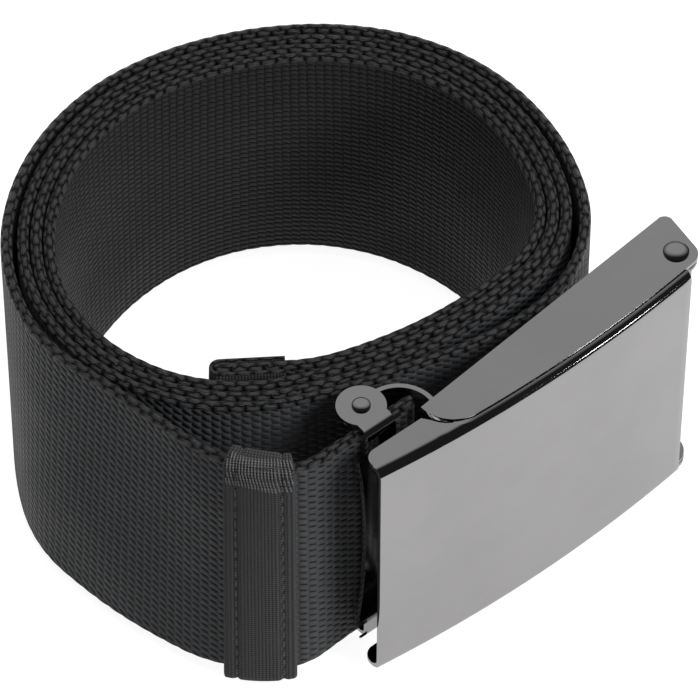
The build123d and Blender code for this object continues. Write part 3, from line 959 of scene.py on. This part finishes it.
@dataclass
class StrapCoil:
    """The webbing, rolled up, with its bound inner end."""

    shop: Workshop
    width: float = 50.0
    thickness: float = 1.9
    start_x: float = 7.6
    seat_y: float = -2.9
    lead_run: float = 18.2
    keeper_side: tuple[float, float] = (9.2, 45.1)
    keeper_arc: tuple[float, float] = (25.6, 35.0)
    left_run: float = 22.8
    outer_arcs: tuple[tuple[float, float], ...] = (
        (27.5, 29.2), (45.9, 68.0), (45.8, 122.2), (26.5, 59.2), (54.3, 16.2))
    behind_run: float = 11.9
    turns: int = 3
    pitch: float = 2.1
    facings: tuple[float, float, float, float, float] = (-84.0, -28.4, 96.0, 154.5, 245.2)
    front_radius: float = 78.9
    back_radius: float = 38.7
    tip_corner: tuple[float, float] = (26.0, 18.0)
    tip_front_turn: float = 24.0
    tip_run: float = 0.5
    binding: float = 12.0
    binding_wall: float = 0.8
    knob: float = 0.28
    float_pitch: float = 2.6
    edge_yarns: int = 3
    sways: tuple[tuple[float, float, float], ...] = ((0.10, 23.0, 0.0), (0.06, 9.1, 1.0))
    stitch_line: float = 1.75
    stitch_count: int = 15
    stitch_pitch: float = 3.0
    stitch_length: float = 2.2
    middle: tuple[float, float] = (16.0, 38.0)
    leans: tuple[Lean, ...] = (Lean(60.0, 62.0, -2.2, 0.6), Lean(150.0, 45.0, 1.0, 1.0),
                               Lean(196.0, 50.0, 0.0, 4.6))

    def __post_init__(self) -> None:
        """Walk the route once and find where the binding's folded tape lies."""
        self.route = self.walk()
        self.seat = self.thickness / 2 + self.binding_wall / 2
        self.side = self.binding - self.seat - self.binding_wall / 2

    def corner_radii(self) -> tuple[float, float]:
        """Radii of the two corner arcs that close the roll's plan shape.

        Returns:
            The right corner's radius, then the left one's.
        """
        front, right, _, left, left_front = (
            unit(math.radians(facing)) for facing in self.facings)
        a, b = right - front, left_front - left
        c = -self.back_radius * (left - right) - self.front_radius * (front - left_front)
        det = a.x * b.y - a.y * b.x
        return (c.x * b.y - c.y * b.x) / det, (a.x * c.y - a.y * c.x) / det

    def walk(self) -> Route:
        """The middle line from the clamped end to the start of the binding.

        Returns:
            The route.
        """
        route = Route(self.start_x, self.seat_y, 270.0)
        route.run(self.lead_run)
        route.bend(*self.keeper_side)
        route.bend(*self.keeper_arc)
        route.run(self.left_run)
        for arc in self.outer_arcs:
            route.bend(*arc)
        route.run(self.behind_run)
        front, right, back, left, left_front = self.facings
        right_corner, left_corner = self.corner_radii()
        for turn in reversed(range(self.turns)):
            out = (turn + 0.5) * self.pitch
            route.bend(self.front_radius + out, route.facing - (left_front - 360))
            route.bend(left_corner + out, left_front - left)
            route.bend(self.back_radius + out, left - back)
            out = turn * self.pitch
            route.bend(self.back_radius + out, back - right)
            route.bend(right_corner + out, right - front)
            route.facing = front
        route.bend(self.front_radius - self.pitch / 2, self.tip_front_turn)
        route.bend(*self.tip_corner)
        route.run(self.tip_run)
        route.run(2 * self.binding)
        return route

    def binding_start(self) -> float:
        """Length at which the binding starts."""
        return self.route.length - 2 * self.binding

    def on_route(self, flat: Flat, ahead: float = 0.0) -> Vector:
        """Lay a flat point along the route and lean it as the soft roll leans.

        Args:
            flat: length, height off the strap and place across.
            ahead: degrees back towards the roll's left at which the lean is read.

        Returns:
            The point in the model's frame.
        """
        point, normal = self.route.at(flat[0])
        point = point + normal * flat[1]
        ray = point - Vector(self.middle)
        facing = math.degrees(math.atan2(ray.y, ray.x)) - ahead
        out = sum(lean.out(facing, flat[2] / self.width) for lean in self.leans)
        point = point + ray.normalized() * out
        return self.shop.to_frame(point.x, point.y, flat[2])

    def knobbly(self, flat: Flat) -> float:
        """How far the woven edge stands out at a flat point of the strap's rim.

        Args:
            flat: the flat point: length, height off the strap, across.

        Returns:
            The distance in millimetres, 0 on the flat faces.
        """
        x, y, z = flat
        over = abs(z) - (self.width - self.thickness) / 2
        if over <= 0:
            return 0.0
        turn = math.atan2(over, y) / math.pi
        rows = turn * self.edge_yarns
        shift = 0.5 * (math.floor(rows) % 2)
        hump = math.sin(math.pi * ((x / self.float_pitch + shift) % 1.0))
        yarn = math.sin(math.pi * (rows % 1.0))
        swell = math.sin(math.pi * turn)
        uneven = 1.0 + 0.3 * math.sin(x / 2.7) * math.sin(x / 7.9 + rows)
        return self.knob * swell * uneven * (math.sqrt(hump * yarn) - 0.35)

    def webbing(self) -> None:
        """The strap itself, cut flat and then wound."""
        bm = bmesh.new()
        length = self.binding_start() + self.binding - self.binding_wall
        self.shop.strip(bm, length, self.width, self.thickness, 0.42, 12, 2)
        self.shop.flat_map(bm, self.width, self.thickness)
        reach = (self.width - self.thickness) / 2

        def wound(flat: Flat) -> Vector:
            """Swell the woven edge, let it sway a little and wind it.

            Args:
                flat: the flat point.

            Returns:
                The point in the model's frame.
            """
            x, y, z = flat
            out = self.knobbly(flat)
            if out:
                round_edge = Vector((y, z - math.copysign(reach, z))).normalized() * out
                y, z = y + round_edge.x * 0.5, z + round_edge.y
            sway = sum(size * math.sin(x / wave + start) for size, wave, start in self.sways)
            return self.on_route((x, y, z + sway))

        # Rims take the selvage; faces turned inwards take the back finish, whose darker yarn is
        # painted shade.
        for face in bm.faces:
            if abs(face.calc_center_median().z) > reach:
                face.material_index = 1
            elif face.normal.y < 0:
                face.material_index = 2
        self.shop.lay(bm, wound)
        made = self.shop.piece("rolled_webbing", bm, WEBBING, Body.BELT, Slot.WEBBING)
        made.data.materials.append(SELVAGE.material())
        made.data.materials.append(WEBBING_BACK_SHADED.material())
        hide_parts("webbing_strap")

    def fold(self, flat: Flat) -> Flat:
        """Fold flat tape round the strap's inner end.

        Args:
            flat: length along the tape from its outer hem, height off its middle, across.

        Returns:
            The point in the strap's own flat space.
        """
        seat, side, first = self.seat, self.side, self.binding_start()
        x, y, z = flat
        if x <= side:
            return first + x, seat + y, z
        angle = (x - side) / seat
        if angle <= math.pi:
            reach = seat + y
            return first + side + reach * math.sin(angle), reach * math.cos(angle), z
        back = x - side - math.pi * seat
        return first + side - back, -seat - y, z

    def bound_end(self) -> None:
        """Tape folded round the inner end."""
        seat, side = self.seat, self.side
        bm = bmesh.new()
        self.shop.strip(bm, 2 * side + math.pi * seat, self.width, self.binding_wall,
                        0.25, 4, 24)
        self.shop.flat_map(bm, self.width, self.binding_wall)
        for face in bm.faces:
            if abs(face.calc_center_median().z) > (self.width - self.binding_wall) / 2:
                face.material_index = 1
        self.shop.lay(bm, lambda flat: self.on_route(self.fold(flat)))
        made = self.shop.piece("end_binding", bm, TAPE, Body.BELT, Slot.TAPE)
        made.data.materials.append(SELVAGE.material())
        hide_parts("tip_binding")

    def binding_stitches(self) -> None:
        """One line of stitches through the binding, seen on both its faces."""
        bm = bmesh.new()
        first = self.binding_start() + self.stitch_line
        top = self.thickness / 2 + self.binding_wall
        for index in range(self.stitch_count):
            low = (index - self.stitch_count / 2) * self.stitch_pitch + 0.4
            for side in (-1, 1):
                self.shop.stitch(bm, (first, side * top, low),
                                 (first, side * top, low + self.stitch_length), 0.5, 0.22)
        self.shop.lay(bm, self.on_route)
        made = self.shop.piece("binding_stitches", bm, THREAD, Body.BELT, Slot.THREAD)
        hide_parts("tip_thread")

    def build(self) -> None:
        """Make the strap's pieces."""
        self.webbing()
        self.bound_end()
        self.binding_stitches()


# ------------------------------------------------------------------ the keeper
@dataclass
class Keeper:
    """The loop of tape that slides on the outer turn."""

    shop: Workshop
    strap: StrapCoil
    wall: float = 1.0
    side_turn: float = 16.0
    band_turn: float = 17.5
    travel: float = 10.0
    gap_face: float = 0.5
    gap_edge: float = 0.5
    corner: float = 1.3
    seams: tuple[float, float] = (0.17, 0.81)
    seam_depth: float = 0.3
    seam_width: float = 0.35
    stitch_pitch: float = 2.4
    stitch_length: float = 1.7
    tack_rows: int = 4
    tack_strokes: int = 22
    tack_height: float = 5.6
    tack_over: float = 2.6

    def __post_init__(self) -> None:
        """Work out the band's size."""
        on_side = self.strap.keeper_side[0] * math.radians(self.side_turn)
        radius = self.strap.keeper_arc[0]
        self.start = self.strap.route.legs[2].start - on_side
        self.band = on_side + radius * math.radians(self.band_turn)
        self.half_depth = self.strap.thickness / 2 + self.gap_face + self.wall / 2
        self.half_height = self.strap.width / 2 + self.gap_edge + self.wall / 2
        self.upright = 2 * (self.half_height - self.corner)
        self.ring = self.closed_path()
        middle, _ = self.strap.route.at(self.start + self.band / 2)
        reach = (middle - Vector(self.strap.middle)).length
        self.lean_ahead = self.travel * radius / reach / 2

    def closed_path(self) -> Route:
        """The tape's middle line round the strap, from the bottom of the outer face up.

        Returns:
            The tape's route.
        """
        ring = Route(self.half_depth, self.half_height - self.corner, 0.0)
        for length in (self.upright, 2 * (self.half_depth - self.corner)) * 2:
            ring.run(length)
            ring.bend(self.corner, 90.0)
        return ring

    def place(self, flat: Flat) -> Vector:
        """Lay a flat point of the tape (length round the loop, height, across the band).

        Args:
            flat: the flat point of the tape.

        Returns:
            The point in the model's frame.
        """
        point, normal = self.ring.at(flat[0])
        point = point + normal * flat[1]
        depth, height = point.x, -point.y
        travel = self.start + self.band / 2 + flat[2]
        return self.strap.on_route((travel, depth, height), self.lean_ahead)

    def pinch(self, flat: Flat) -> float:
        """How far the sewn lines draw the tape in.

        Args:
            flat: the flat point of the tape.

        Returns:
            The distance moved out, less than 0 along the seams.
        """
        share = flat[2] / self.band + 0.5
        pull = sum(math.exp(-(((share - seam) * self.band) / self.seam_width) ** 2)
                   for seam in self.seams)
        crown = 0.1 * math.cos(math.pi * (share - 0.5)) - 0.06
        return crown - self.seam_depth * pull

    def loop(self) -> None:
        """The closed band of tape."""
        bm = bmesh.new()
        self.shop.strip(bm, self.ring.length, self.band, self.wall, 0.6, 6, 44)
        caps = [f for f in bm.faces if abs(f.normal.x) > 0.9]
        bmesh.ops.delete(bm, geom=caps, context="FACES_ONLY")
        self.shop.flat_map(bm, self.band, self.wall)

        def sewn(flat: Flat) -> Vector:
            """Draw the seams in and wrap the tape round.

            Args:
                flat: the flat point of the tape.

            Returns:
                The point in the model's frame.
            """
            x, y, z = flat
            if y > 0:
                y += self.pinch(flat)
            return self.place((x, y, z))

        self.shop.lay(bm, sewn)
        bmesh.ops.remove_doubles(bm, verts=bm.verts, dist=0.02 * MM)
        bmesh.ops.recalc_face_normals(bm, faces=bm.faces)
        made = self.shop.piece("keeper_band", bm, TAPE, Body.KEEPER, Slot.TAPE)
        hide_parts("keeper_loop")

    def stitches(self) -> None:
        """Two sewn lines down the front of the band."""
        bm = bmesh.new()
        for seam in self.seams:
            across = (seam - 0.5) * self.band
            top = self.wall / 2 + self.pinch((0.0, 1.0, across)) + 0.02
            for index in range(int(self.upright / self.stitch_pitch)):
                low = index * self.stitch_pitch + 0.5
                self.shop.stitch(bm, (low, top, across),
                                 (low + self.stitch_length, top, across), 0.5, 0.2)
        self.shop.lay(bm, self.place)
        made = self.shop.piece("keeper_stitches", bm, THREAD, Body.KEEPER, Slot.THREAD)
        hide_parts("keeper_thread")

    def bar_tack(self) -> None:
        """The close rows of short stitches that join the loop's ends, below its top edge."""
        bm = bmesh.new()
        tall = self.tack_height / self.tack_rows
        pitch = self.band / self.tack_strokes
        for row in range(self.tack_rows):
            for index in range(1, self.tack_strokes - 1):
                stagger = 0.5 * (row % 2)
                across = (index + stagger) * pitch - self.band / 2
                uneven = math.sin(index * 12.9 + row * 7.3)
                low = self.upright + self.tack_over - (row + 1.0) * tall + 0.25 * uneven
                rise = self.wall / 2 + self.pinch((0.0, 1.0, across)) + 0.04 * uneven
                self.shop.stitch(bm, (low, rise, across - 0.12),
                                 (low + tall * 1.05, rise, across + 0.12), 0.3, 0.16)
        self.shop.lay(bm, self.place)
        self.shop.piece("keeper_bar_tack", bm, PALE_THREAD, Body.KEEPER, Slot.THREAD)

    def build(self) -> None:
        """Make the keeper's pieces."""
        self.loop()
        self.stitches()
        self.bar_tack()


# ------------------------------------------------------------------ the buckle
@dataclass
class Cover:
    """The lever's bowed cover, pressed with a rolled rim and two deep flanges."""

    shop: Workshop
    bow: float = 259.0
    crown: tuple[float, float] = (28.0, -14.2)
    left: float = -6.0
    right: float = 57.8
    half_height: float = 25.7
    sheet: float = 0.8
    roll: float = 2.1
    rim_inset: float = 0.9
    flange_back: float = -7.59
    heel: float = 2.1
    notch_left: float = 5.8
    notch: float = 7.4
    edge: float = 0.14
    columns: int = 72
    flat_rows: int = 3
    rolled_rows: int = 14

    def front(self, x: float, inset: float = 0.0) -> float:
        """Y of the bowed front, or of a bow that much inside it."""
        radius = self.bow - inset
        return self.crown[1] + self.bow - math.sqrt(radius ** 2 - (x - self.crown[0]) ** 2)

    def rim(self, x: float) -> float:
        """Y at which the flange ends: rounded heel, straight flange, notch, bowed rim.

        Args:
            x: place along the buckle.

        Returns:
            The flange's Y there.
        """
        if x < self.left + self.heel:
            away = self.left + self.heel - x
            return self.flange_back - self.heel + math.sqrt(self.heel ** 2 - away ** 2)
        middle = self.notch_left + self.notch
        inner = self.bow - self.rim_inset - self.notch
        level = self.crown[1] + self.bow - math.sqrt(inner ** 2 - (middle - self.crown[0]) ** 2)
        start = middle - math.sqrt(self.notch ** 2 - (self.flange_back - level) ** 2)
        if x < start:
            return self.flange_back
        if x < middle:
            return level - math.sqrt(self.notch ** 2 - (x - middle) ** 2)
        return self.front(x, self.rim_inset)

    def station(self, share: float) -> float:
        """X of a column, with columns closer together towards the flange."""
        return self.left + (self.right - self.left) * share ** 1.6

    def section(self, x: float, share: float) -> tuple[float, float]:
        """Depth behind the front and height above the flat, by share of the rolled rim.

        Args:
            x: place along the buckle.
            share: share of the way over the rolled rim and down the flange.

        Returns:
            The depth and the height.
        """
        depth = self.rim(x) - self.front(x)
        turn = math.acos(1.0 - min(depth / self.roll, 1.0))
        straight = max(depth - self.roll, 0.0)
        travel = share * (self.roll * turn + straight)
        if travel < self.roll * turn:
            angle = travel / self.roll
            return self.roll * (1.0 - math.cos(angle)), self.roll * math.sin(angle)
        return self.roll + travel - self.roll * turn, self.roll

    def build(self) -> None:
        """Draw the sheet, thicken it inwards and break its edges."""
        bm = bmesh.new()
        rows = 2 * (self.flat_rows + self.rolled_rows)
        bmesh.ops.create_grid(bm, x_segments=self.columns, y_segments=rows, size=1.0)
        flat_share = self.flat_rows / (self.flat_rows + self.rolled_rows)
        flat_height = self.half_height - self.roll

        def pressed(point: Flat) -> Vector:
            """Press a grid point, X and Y both from -1 to 1, to the cover's outer face.

            Args:
                point: the grid point.

            Returns:
                The point in the model's frame.
            """
            x = self.station((point[0] + 1.0) / 2)
            up = abs(point[1])
            if up <= flat_share:
                depth, height = 0.0, flat_height * up / flat_share
            else:
                depth, height = self.section(x, (up - flat_share) / (1.0 - flat_share))
                height += flat_height
            return self.shop.to_frame(x, self.front(x) + depth, math.copysign(height, point[1]))

        self.shop.lay(bm, pressed)
        centre = sum((f.calc_center_median() for f in bm.faces), Vector()) / len(bm.faces)
        middle = min(bm.faces, key=lambda f: (f.calc_center_median() - centre).length)
        if middle.normal.y > 0:
            bmesh.ops.reverse_faces(bm, faces=bm.faces)
        bmesh.ops.solidify(bm, geom=bm.faces, thickness=self.sheet * MM)
        bmesh.ops.recalc_face_normals(bm, faces=bm.faces)
        self.shop.break_edges(bm, 0.9, self.edge, 2)
        made = self.shop.piece("lever_cover_polished", bm, POLISHED, Body.LEVER, Slot.POLISHED)
        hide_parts("lever_cover")


@dataclass
class Buckle:
    """The pressed steel buckle, its jaw and its lever."""

    shop: Workshop
    sheet_edge: float = 0.14
    frame_edge: float = 0.3
    pin_edge: float = 0.08

    def build(self) -> None:
        """Finish the buckle's pieces."""
        polished = ((Body.BELT, "buckle_frame", self.frame_edge),
                    (Body.JAW, "clamp_jaw", self.sheet_edge),
                    (Body.BELT, "lever_pin", self.pin_edge),
                    (Body.BELT, "clamp_pin", self.pin_edge))
        for body, node, edge in polished:
            self.shop.burnished(node, POLISHED, body, Slot.POLISHED, edge)
        for node in ("lever_bracket", "cam_bar"):
            self.shop.burnished(node, SATIN, Body.LEVER, Slot.SATIN, self.pin_edge)
        Cover(self.shop).build()


# ------------------------------------------------------------------ the studio
@dataclass
class Studio:
    """White table, soft lamps and a long lens."""

    shop: Workshop
    turn: float = 39.9
    elevation: float = 50.4
    distance: float = 955.0
    roll: float = -0.13
    lens: float = 303.17
    aim: tuple[float, float] = (1.75, -32.8)
    table_radius: float = 0.34
    table_shift: float = 0.17
    table_seen: float = 0.93
    table_mirrored: float = 0.61
    glow_way: Flat = (0.41, 0.49, 0.77)
    glow: float = 0.52
    fill: float = 0.10

    def camera(self) -> None:
        """Stand the camera above the buckle's front left."""
        turn, rise = math.radians(self.turn), math.radians(self.elevation)
        unturn = Matrix.Rotation(-turn, 3, "Z")
        target = unturn @ Vector((-self.aim[0], -self.aim[1], 0.0))
        target = self.shop.to_frame(target.x, target.y, 0.0)
        back = unturn @ Vector((0.0, -math.cos(rise), math.sin(rise)))
        data = bpy.data.cameras.new("studio_camera")
        data.lens, data.sensor_width = self.lens, 36.0
        data.clip_start, data.clip_end = 0.05, 20.0
        camera = add_object("studio_camera", data)
        camera.location = target + back * self.distance * MM
        spin = Matrix.Rotation(math.radians(-self.roll), 3, "Z")
        camera.rotation_euler = (back.to_track_quat("Z", "Y").to_matrix() @ spin).to_euler()
        bpy.context.scene.camera = camera

    def table(self) -> None:
        """A table that is white to the lens, pale in the metal and darker to other light."""
        bm = bmesh.new()
        bmesh.ops.create_circle(bm, cap_ends=True, segments=96, radius=self.table_radius)
        bmesh.ops.translate(bm, vec=(0, self.table_shift, 0), verts=bm.verts)
        mesh = bpy.data.meshes.new("table")
        bm.to_mesh(mesh)
        bm.free()
        table = add_object("table", mesh)
        material = bpy.data.materials.new("white_table")
        material.use_nodes = True
        g = Graph(material.node_tree)
        shader = material.node_tree.nodes["Principled BSDF"]
        shader.inputs["Base Color"].default_value = (0.35, 0.35, 0.35, 1.0)
        shader.inputs["Roughness"].default_value = 0.9
        shader.inputs["Specular IOR Level"].default_value = 0.0
        rays = g.node("LightPath").outputs
        seen = g.math("MAXIMUM", rays["Is Camera Ray"], rays["Is Transmission Ray"])
        mirrored = g.math("MULTIPLY", rays["Is Glossy Ray"], self.table_mirrored)
        shader.inputs["Emission Color"].default_value = (1.0, 1.0, 1.0, 1.0)
        g.feed(shader.inputs["Emission Strength"],
               g.math("MAXIMUM", g.math("MULTIPLY", seen, self.table_seen), mirrored))
        mesh.materials.append(material)

    def world(self) -> None:
        """In the metal, a dim room with a pale glow behind the object; elsewhere an even fill."""
        world = bpy.data.worlds.new("studio")
        world.use_nodes = True
        bpy.context.scene.world = world
        g = Graph(world.node_tree)
        ways = g.node("SeparateXYZ")
        g.feed(ways.inputs[0], g.node("TexCoord").outputs["Generated"])
        x, y, z = (g.math("MULTIPLY", way, share)
                   for way, share in zip(ways.outputs, self.glow_way))
        toward_glow = g.math("ADD", g.math("ADD", x, y), z)
        around = g.mix(g.ramp(toward_glow, 0.5, 0.85), (0.022, 0.022, 0.024, 1.0),
                       (self.glow, self.glow, self.glow, 1.0))
        rays = g.node("LightPath").outputs
        around = g.mix(rays["Is Diffuse Ray"], around, (self.fill, self.fill, self.fill, 1.0))
        g.feed(world.node_tree.nodes["Background"].inputs["Color"],
               g.mix(rays["Is Camera Ray"], around, (1.0, 1.0, 1.0, 1.0)))

    def lamp(self, name: str, direction: Flat, distance: float, size: tuple[float, float],
             power: float, mirrored: bool = False) -> None:
        """Hang a soft rectangular lamp that faces the belt.

        Args:
            name: the lamp's name.
            direction: direction from the belt to the lamp.
            distance: metres from the belt.
            size: width and height in metres.
            power: watts.
            mirrored: whether metal shows it.
        """
        data = bpy.data.lights.new(name, "AREA")
        data.shape, data.size, data.size_y = "RECTANGLE", *size
        data.energy = power
        lamp = add_object(name, data)
        away = Vector(direction).normalized()
        lamp.location = self.shop.origin + away * distance
        lamp.rotation_euler = away.to_track_quat("Z", "Y").to_euler()
        lamp.visible_glossy = mirrored

    def build(self) -> None:
        """Set the studio up."""
        self.camera()
        self.table()
        self.world()
        self.lamp("overhead", (0.1, 0.1, 1.0), 1.1, (0.9, 0.9), 6.0)
        self.lamp("front", (0.45, -0.97, 0.75), 1.2, (0.45, 0.7), 10.5)
        self.lamp("edge_strip", (0.53, -0.85, 0.03), 1.3, (0.16, 0.03), 0.3, True)
        bpy.context.scene.view_settings.view_transform = "Standard"


def main() -> None:
    """Build the belt."""
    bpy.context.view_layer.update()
    shop = Workshop()
    Studio(shop).build()
    Buckle(shop).build()
    strap = StrapCoil(shop)
    strap.build()
    Keeper(shop, strap).build()


if __name__ == "__main__":
    main()
